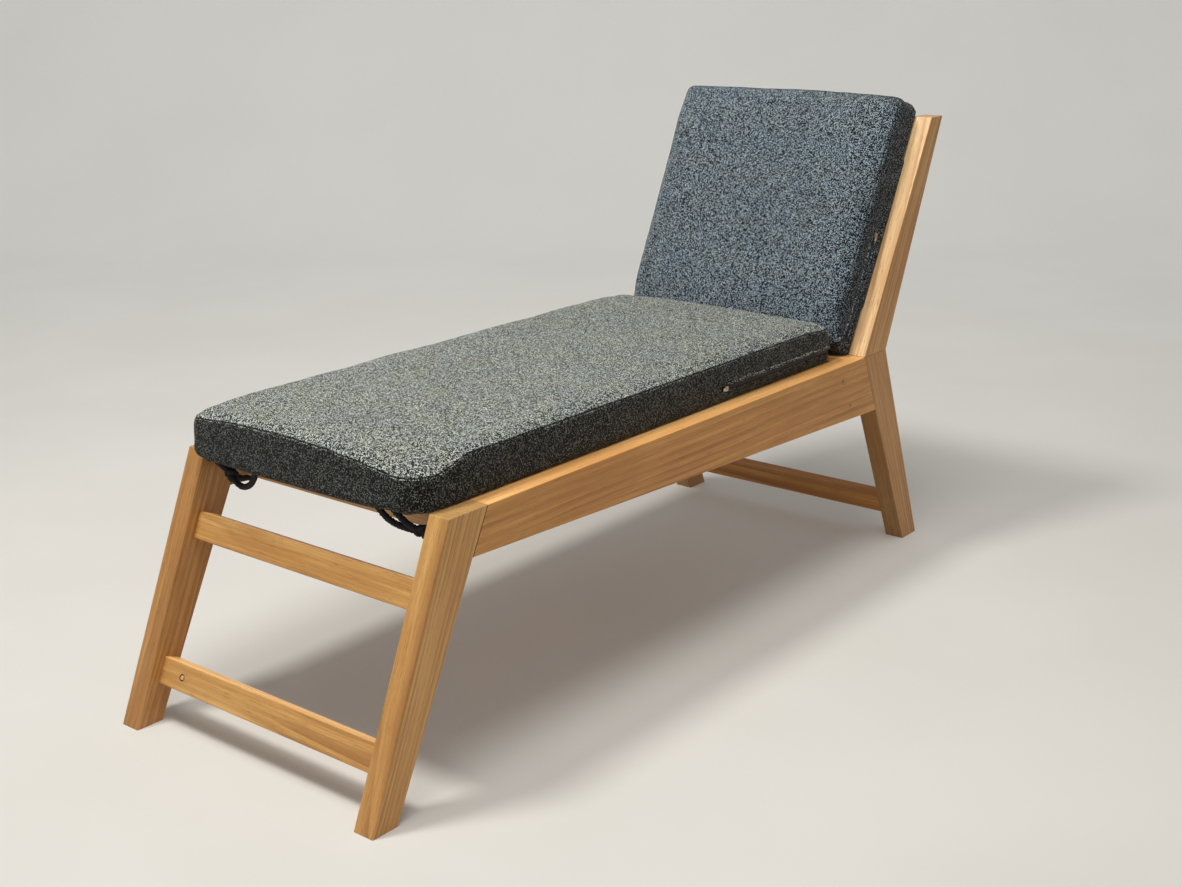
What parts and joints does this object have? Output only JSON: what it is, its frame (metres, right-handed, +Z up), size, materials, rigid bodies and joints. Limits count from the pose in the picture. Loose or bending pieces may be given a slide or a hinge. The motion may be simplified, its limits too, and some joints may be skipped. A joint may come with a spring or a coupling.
{
  "type": "reflexology chair",
  "caption": "Hardwood foot-treatment lounger with splayed legs, deep tapering side rails, a fixed leaning back and loose boxed fabric cushions with side zips and corner ties.",
  "frame": {"origin": "on the floor, in the middle of the area the chair covers", "axes": "+Z up; +Y along the chair from the foot end to the back; +X across it, towards the side that carries the cushion zips"},
  "size_m": [0.6, 1.645, 0.937],
  "materials": {
    "frame_wood": "satin",
    "slat_wood": "satin",
    "plug_wood": "satin",
    "screw_steel": "satin",
    "seat_fabric": "matte",
    "back_fabric": "matte",
    "tie_fabric": "matte",
    "foam": "matte",
    "zip_tape": "matte",
    "zip_teeth": "matte",
    "zip_metal": "satin"
  },
  "bodies": {
    "chair": {"front_leg_left": "frame_wood", "rear_leg_left": "frame_wood", "side_rail_left": "frame_wood", "back_post_left": "frame_wood", "front_leg_right": "frame_wood", "rear_leg_right": "frame_wood", "side_rail_right": "frame_wood", "back_post_right": "frame_wood", "front_upper_stretcher": "frame_wood", "front_lower_stretcher": "frame_wood", "rear_stretcher": "frame_wood", "front_cross_rail": "frame_wood", "rear_cross_rail": "frame_wood", "back_bottom_rail": "frame_wood", "back_top_rail": "frame_wood", "seat_slat_1": "slat_wood", "seat_slat_2": "slat_wood", "seat_slat_3": "slat_wood", "seat_slat_4": "slat_wood", "seat_slat_5": "slat_wood", "seat_slat_6": "slat_wood", "seat_slat_7": "slat_wood", "seat_slat_8": "slat_wood", "seat_slat_9": "slat_wood", "seat_slat_10": "slat_wood", "back_slat_1": "slat_wood", "back_slat_2": "slat_wood", "back_slat_3": "slat_wood", "back_slat_4": "slat_wood", "back_slat_5": "slat_wood", "back_slat_6": "slat_wood", "seat_ledger_left": "slat_wood", "seat_ledger_right": "slat_wood", "stretcher_plug": "plug_wood", "post_dowels": "slat_wood", "slat_screws": "screw_steel", "ledger_screws": "screw_steel", "seat_cover": "seat_fabric", "seat_core": "foam", "seat_zip_tapes": "zip_tape", "seat_zip_teeth": "zip_teeth", "back_cover": "back_fabric", "back_core": "foam", "back_zip_tapes": "zip_tape", "back_zip_teeth": "zip_teeth", "seat_tie_left": "tie_fabric", "seat_tie_left_loop": "tie_fabric", "seat_tie_left_knot": "tie_fabric", "seat_tie_right": "tie_fabric", "seat_tie_right_loop": "tie_fabric", "seat_tie_right_knot": "tie_fabric"},
    "seat_slider": {"seat_zip_slider": "zip_metal"},
    "seat_pull": {"seat_zip_pull": "zip_metal"},
    "back_slider": {"back_zip_slider": "zip_metal"},
    "back_pull": {"back_zip_pull": "zip_metal"}
  },
  "joints": [
    {"name": "seat_zip_slide", "type": "slide", "parent": "chair", "child": "seat_slider", "axis": [0, 1, 0], "range_m": [0, 0.34]},
    {"name": "seat_pull_hinge", "type": "hinge", "parent": "seat_slider", "child": "seat_pull", "pos_m": [0.2644, 0.116, 0.462], "axis": [0, 0, 1], "range_deg": [0, 170]},
    {"name": "back_zip_slide", "type": "slide", "parent": "chair", "child": "back_slider", "axis": [0, -0.4622, -0.8868], "range_m": [0, 0.198]},
    {"name": "back_pull_hinge", "type": "hinge", "parent": "back_slider", "child": "back_pull", "pos_m": [0.2644, 0.63458, 0.66467], "axis": [0, -0.8868, 0.4622], "range_deg": [0, 170]}
  ]
}
